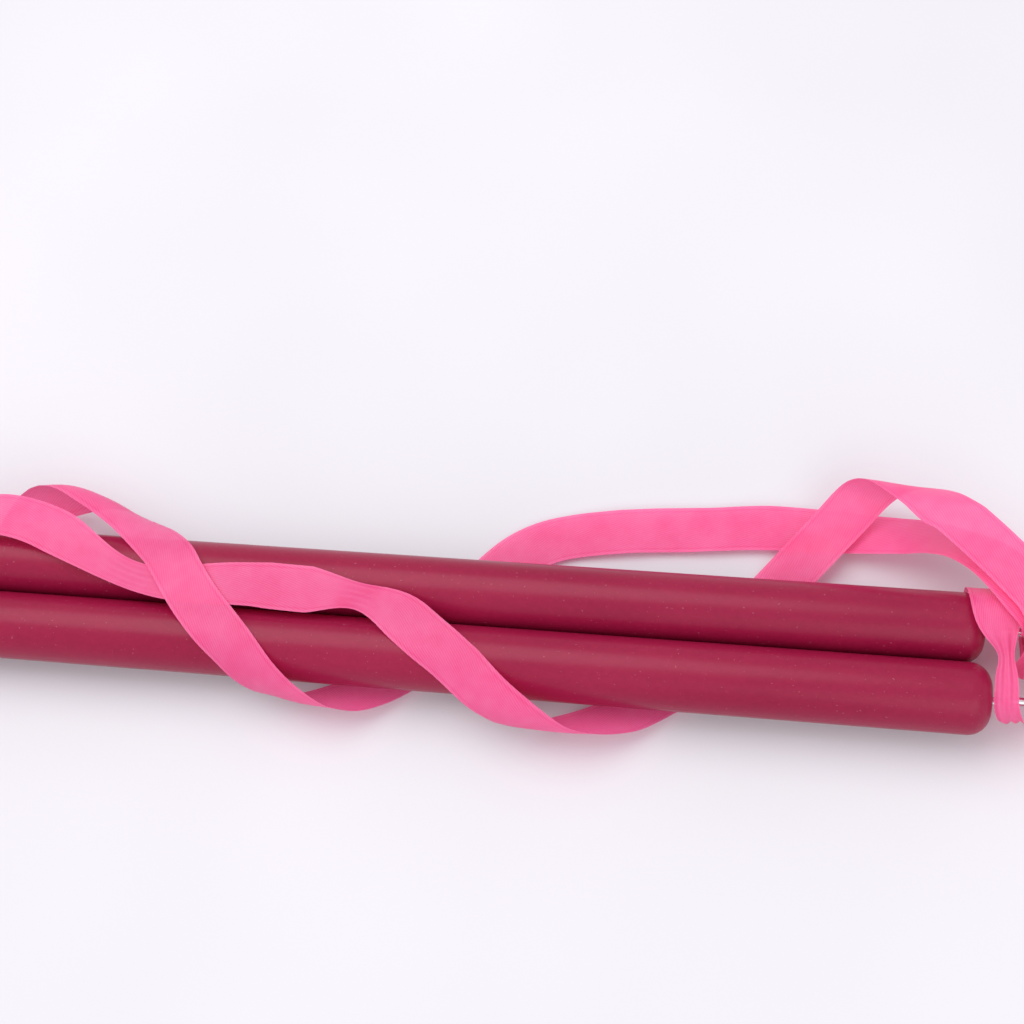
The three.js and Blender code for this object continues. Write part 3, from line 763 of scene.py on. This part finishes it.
def plug(wand):
    spigot = ROD_RADIUS - ROD_WALL - FIT_GAP
    shoulder = HANDLE_X - FIT_GAP
    end = HANDLE_X - PLUG_HEAD
    steps = 12
    crown = []
    for i in range(steps + 1):
        angle = math.pi / 2 * i / steps
        crown.append(
            (
                shoulder + (end - shoulder) * math.cos(angle),
                PLUG_FLAT_RADIUS + (ROD_RADIUS - PLUG_FLAT_RADIUS) * math.sin(angle),
            )
        )
    dimple = 0.0008
    profile = [
        (end + 0.00015, NEAR_AXIS),
        (end + 0.00015, dimple),
        (end, dimple + 0.0003),
        *crown,
        (shoulder, spigot),
        (HANDLE_X + PLUG_SPIGOT - 0.0005, spigot),
        (HANDLE_X + PLUG_SPIGOT, spigot - 0.0005),
        (HANDLE_X + PLUG_SPIGOT, spigot - PLUG_WALL),
        (HANDLE_X + PLUG_WALL, spigot - PLUG_WALL),
        (HANDLE_X + PLUG_WALL, NEAR_AXIS),
    ]
    piece = capped(f"handle_cap_{wand}", wand, profile, PLUG_PLASTIC)
    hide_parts(f"handle_plug_{wand}")
    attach(piece, "bundle")
    return piece


FLANGE_FACE = TIP_X - TIP_WALL - FIT_GAP
WASHER_FACE = FLANGE_FACE - BUSH_FLANGE - FIT_GAP
WASHER_THICKNESS = 0.0005
WASHER_RADIUS = 0.0028
HEAD_RADIUS = 0.0022
HEAD_THICKNESS = 0.001


def bush(wand):
    hole = WIRE_RADIUS + FIT_GAP
    lip = 0.00015
    profile = [
        (FLANGE_FACE - BUSH_FLANGE, hole),
        (FLANGE_FACE - BUSH_FLANGE, BUSH_FLANGE_RADIUS - lip),
        (FLANGE_FACE - BUSH_FLANGE + lip, BUSH_FLANGE_RADIUS),
        (FLANGE_FACE - lip, BUSH_FLANGE_RADIUS),
        (FLANGE_FACE, BUSH_FLANGE_RADIUS - lip),
        (FLANGE_FACE, BUSH_RADIUS),
        (TIP_X - lip, BUSH_RADIUS),
        (TIP_X, BUSH_RADIUS - lip),
        (TIP_X, hole + lip),
        (TIP_X - lip, hole),
    ]
    piece = turned(f"bush_sleeve_{wand}", wand, profile, BUSH_METAL, 48)
    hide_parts(f"tip_bush_{wand}")
    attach(piece, "bundle")
    return piece


def washer(wand):
    hole = WIRE_RADIUS + FIT_GAP
    lip = 0.0001
    back = WASHER_FACE - WASHER_THICKNESS
    profile = [
        (back, hole),
        (back, WASHER_RADIUS - lip),
        (back + lip, WASHER_RADIUS),
        (WASHER_FACE - lip, WASHER_RADIUS),
        (WASHER_FACE, WASHER_RADIUS - lip),
        (WASHER_FACE, hole),
    ]
    piece = turned(f"washer_ring_{wand}", wand, profile, WASHER_NYLON, 48)
    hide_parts(f"thrust_washer_{wand}")
    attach(piece, f"swivel_{wand}")
    return piece


def swept(path, section):
    """Points and faces of a closed section carried along an open path, with capped ends.

    section(share) gives the section's points as (towards first axis, towards second axis).
    """
    path = np.array(path)
    along = np.gradient(path, axis=0)
    along /= np.linalg.norm(along, axis=1)[:, None]
    points, faces = [], []
    for i, (at, direction) in enumerate(zip(path, along)):
        first = np.cross(direction, (0, 0, 1.0))
        first /= np.linalg.norm(first)
        second = np.cross(first, direction)
        ring = section(i / (len(path) - 1))
        points += [at + a * first + b * second for a, b in ring]
    n = len(ring)
    for i in range(len(path) - 1):
        for k in range(n):
            m = (k + 1) % n
            faces.append((i * n + k, i * n + m, (i + 1) * n + m, (i + 1) * n + k))
    last = (len(path) - 1) * n
    faces.append(tuple(reversed(range(n))))
    faces.append(tuple(range(last, last + n)))
    return points, faces


def swivel_pin(wand):
    """Wire with an upset head inside the rod, bent round into an eye outside it."""
    axis_y, shift = WANDS[wand]
    head_face = WASHER_FACE - WASHER_THICKNESS - FIT_GAP
    eye_x = TIP_X + EYE_REACH
    guide = [(head_face - 0.0004, 0), (TIP_X - 0.002, 0), (TIP_X + 0.0035, 0), (TIP_X + 0.0066, 0.0)]
    guide += [(TIP_X + 0.0080, -0.00025)]
    for degrees in range(205, 520, 15):
        angle = math.radians(degrees)
        guide.append((eye_x + EYE_RADIUS * math.cos(angle), EYE_RADIUS * math.sin(angle)))
    rows = np.array(guide)
    knots = np.concatenate([[0], np.cumsum(np.linalg.norm(np.diff(rows, axis=0), axis=1))])
    fine = spline(knots, rows, np.linspace(0, knots[-1], 260))
    path = [(x + shift, axis_y + y, AXIS_HEIGHT) for x, y in fine]
    corners = [2 * math.pi * k / 20 for k in range(20)]

    def round_wire(share):
        blunt = 1 - 0.25 * max(0, (share - 0.994) / 0.006) ** 2
        return [(WIRE_RADIUS * blunt * math.cos(a), WIRE_RADIUS * blunt * math.sin(a)) for a in corners]

    points, faces = swept(path, round_wire)
    lip = 0.0002
    head = [
        (head_face - HEAD_THICKNESS, HEAD_RADIUS - 4 * lip),
        (head_face - HEAD_THICKNESS + 0.5 * lip, HEAD_RADIUS - 2 * lip),
        (head_face - HEAD_THICKNESS + 2 * lip, HEAD_RADIUS),
        (head_face - lip, HEAD_RADIUS),
        (head_face, HEAD_RADIUS - lip),
        (head_face, 0.5 * WIRE_RADIUS),
    ]
    segments = 40
    base = len(points)
    for x, radius in head:
        for k in range(segments):
            angle = 2 * math.pi * k / segments
            points.append(
                (x + shift, axis_y + radius * math.cos(angle), AXIS_HEIGHT + radius * math.sin(angle))
            )
    for i in range(len(head) - 1):
        for k in range(segments):
            m = (k + 1) % segments
            here, there = base + i * segments, base + (i + 1) * segments
            faces.append((here + k, there + k, there + m, here + m))
    faces.append(tuple(base + k for k in range(segments)))
    end = base + (len(head) - 1) * segments
    faces.append(tuple(reversed([end + k for k in range(segments)])))
    piece = new_piece(f"swivel_wire_{wand}", points, faces, STEEL_WIRE)
    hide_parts(f"swivel_pin_{wand}")
    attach(piece, f"swivel_{wand}")
    return piece


def knot(wand):
    """The ribbon gathered to a pleated strand and tied round the pin, twice round and interlaced."""
    axis_y, shift = WANDS[wand]
    middle = TIP_X + KNOT_START + 0.5 * KNOT_LENGTH + shift
    steps, sides = 300, 48
    ring_radius, lift, sway = 0.00262, 0.00072, 0.00098
    tall, broad, pleat, pleats = 0.00092, 0.00115, 0.15, 7
    place = []
    for i in range(steps):
        turn = 4 * math.pi * i / steps
        radius = ring_radius + lift * math.cos(1.5 * turn)
        place.append(
            (
                middle + sway * math.sin(1.5 * turn),
                axis_y + radius * math.sin(turn),
                AXIS_HEIGHT + radius * math.cos(turn),
            )
        )
    place = np.array(place)
    along = np.roll(place, -1, axis=0) - np.roll(place, 1, axis=0)
    along /= np.linalg.norm(along, axis=1)[:, None]
    points, flat = [], []
    travelled = 0.0
    for i in range(steps):
        turn = 4 * math.pi * i / steps
        out = np.array((0, math.sin(turn), math.cos(turn)))
        out -= out.dot(along[i]) * along[i]
        out /= np.linalg.norm(out)
        side = np.cross(along[i], out)
        swell = 1 + 0.07 * math.sin(3 * turn + 1.1)
        for k in range(sides):
            angle = 2 * math.pi * k / sides
            crease = 1 + pleat * (abs(math.sin(0.5 * pleats * angle + 0.5 * turn)) - 0.6)
            crease += 0.03 * math.sin(11 * turn + 3 * angle)
            points.append(
                place[i]
                + tall * swell * crease * math.sin(angle) * out
                + broad * swell * crease * math.cos(angle) * side
            )
            flat.append((RIBBON_WIDTH * (k / sides - 0.5), travelled))
        travelled += np.linalg.norm(place[(i + 1) % steps] - place[i])
    faces = []
    for i in range(steps):
        j = (i + 1) % steps
        for k in range(sides):
            m = (k + 1) % sides
            faces.append((i * sides + k, i * sides + m, j * sides + m, j * sides + k))
    piece = new_piece(f"knot_{wand}", points, faces, RIBBON_SATIN, 180)
    lay_cloth(piece, np.array(flat))
    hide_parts(f"ribbon_knot_{wand}")
    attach(piece, f"swivel_{wand}")
    return piece


for wand in WANDS:
    rod(wand)
    plug(wand)
    bush(wand)
    washer(wand)
    swivel_pin(wand)


# ---------------------------------------------------------------- the ribbons
# The short leads, from each knot to the start of its ribbon
LEAD_A = [
    (0.1592, -0.0046, 0.0056, 150, 0.0030),
    (0.1592, -0.0058, 0.0046, 165, 0.0033),
    (0.1591, -0.0070, 0.0037, 175, 0.0037),
    A_START[0],
]
LEAD_B = [
    (0.1578, 0.0108, 0.0056, 150, 0.0030),
    (0.1578, 0.0099, 0.0047, 160, 0.0033),
    (0.1577, 0.0090, 0.0038, 172, 0.0037),
    B_START[0],
]
HANK_TURNS = 7
A_INTO_HANK = [
    (-0.1078, 0.0024, 0.0094, 0.0094, RIBBON_WIDTH),
    (-0.1125, 0.0048, 0.0088, 0.0088, RIBBON_WIDTH),
    (-0.1165, 0.0090, 0.0084, 0.0084, RIBBON_WIDTH),
    (-0.1196, 0.0150, 0.0080, 0.0080, RIBBON_WIDTH),
    (-0.1216, 0.0225, 0.0078, 0.0078, RIBBON_WIDTH),
]
# the outline round both rods, with the roll at its top
ROUND_RODS_A = (AXIS_Y, 0, AXIS_HEIGHT, 720)
ROUND_RODS_B = (AXIS_Y, 0, AXIS_HEIGHT, 360)
# the fold at the far side of the loop beside the rods
FOLD = (0.0288, 0, 0.0115, 360)


def ribbon_set(wand, stretches, lead, tail, phase):
    """One wand's ribbon: knot, lead, the long run with its stored turns, and the free end."""
    run = ribbon(f"ribbon_run_{wand}", stretches, phase, 0.5)
    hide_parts(f"ribbon_{wand}", f"ribbon_hank_{wand}", f"hank_end_{wand}")
    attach(run, "bundle")
    knotted = knot(wand)
    free = ribbon(f"ribbon_free_end_{wand}", [(None, tail)], phase + 1, 0.3)
    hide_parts(f"ribbon_tail_{wand}")
    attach(free, "bundle")
    link = ribbon(f"ribbon_lead_{wand}", [(None, lead)], phase, 1.0)
    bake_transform(link)


turns_a = hank_turns(HANK_A_START, A_INTO_HANK[-1][:2], HANK_TURNS)
turns_b = hank_turns(HANK_B_START, B_WOUND[-1][:2], HANK_TURNS)
ribbon_set(
    "a",
    [
        (None, A_START),
        (FOLD, A_LOOP),
        (None, A_UNDER),
        (ROUND_RODS_A, A_WOUND),
        (None, A_ON_TOP),
        (ROUND_RODS_A, A_INTO_HANK + turns_a),
    ],
    LEAD_A,
    TAIL_A,
    0.4,
)
ribbon_set("b", [(None, B_START), (ROUND_RODS_B, B_WOUND + turns_b)], LEAD_B, TAIL_B, 2.2)


# ---------------------------------------------------------------- stage and light
def stage_floor():
    mesh = bpy.data.meshes.new("floor")
    reach = 3.0
    corners = [(-reach, -reach, 0), (reach, -reach, 0), (reach, reach, 0), (-reach, reach, 0)]
    mesh.from_pydata(corners, [], [(0, 1, 2, 3)])
    mesh.materials.append(floor_material())
    floor = bpy.data.objects.new("floor", mesh)
    scene.collection.objects.link(floor)


def area_light(name, place, size, power, colour):
    data = bpy.data.lights.new(name, "AREA")
    data.shape = "DISK"
    data.size = size
    data.energy = power
    data.color = colour
    light = bpy.data.objects.new(name, data)
    light.location = place
    light.rotation_euler = (LIGHT_AIM - Vector(place)).to_track_quat("-Z", "Y").to_euler()
    scene.collection.objects.link(light)


stage_floor()
LIGHT_AIM = Vector((0.04, 0, 0))
WORLD_COLOUR = (0.985, 0.975, 1.0, 1)
WORLD_POWER = 0.84
area_light("key", (-0.3, 0.28, 1.0), 1.0, 6.3, (1.0, 0.985, 0.99))
area_light("fill", (0.6, -0.8, 0.8), 1.1, 3.8, (0.99, 0.985, 1.0))
world = bpy.data.worlds.new("studio")
world.use_nodes = True
world.node_tree.nodes["Background"].inputs[0].default_value = WORLD_COLOUR
world.node_tree.nodes["Background"].inputs[1].default_value = WORLD_POWER
scene.world = world
scene.view_settings.view_transform = "Standard"
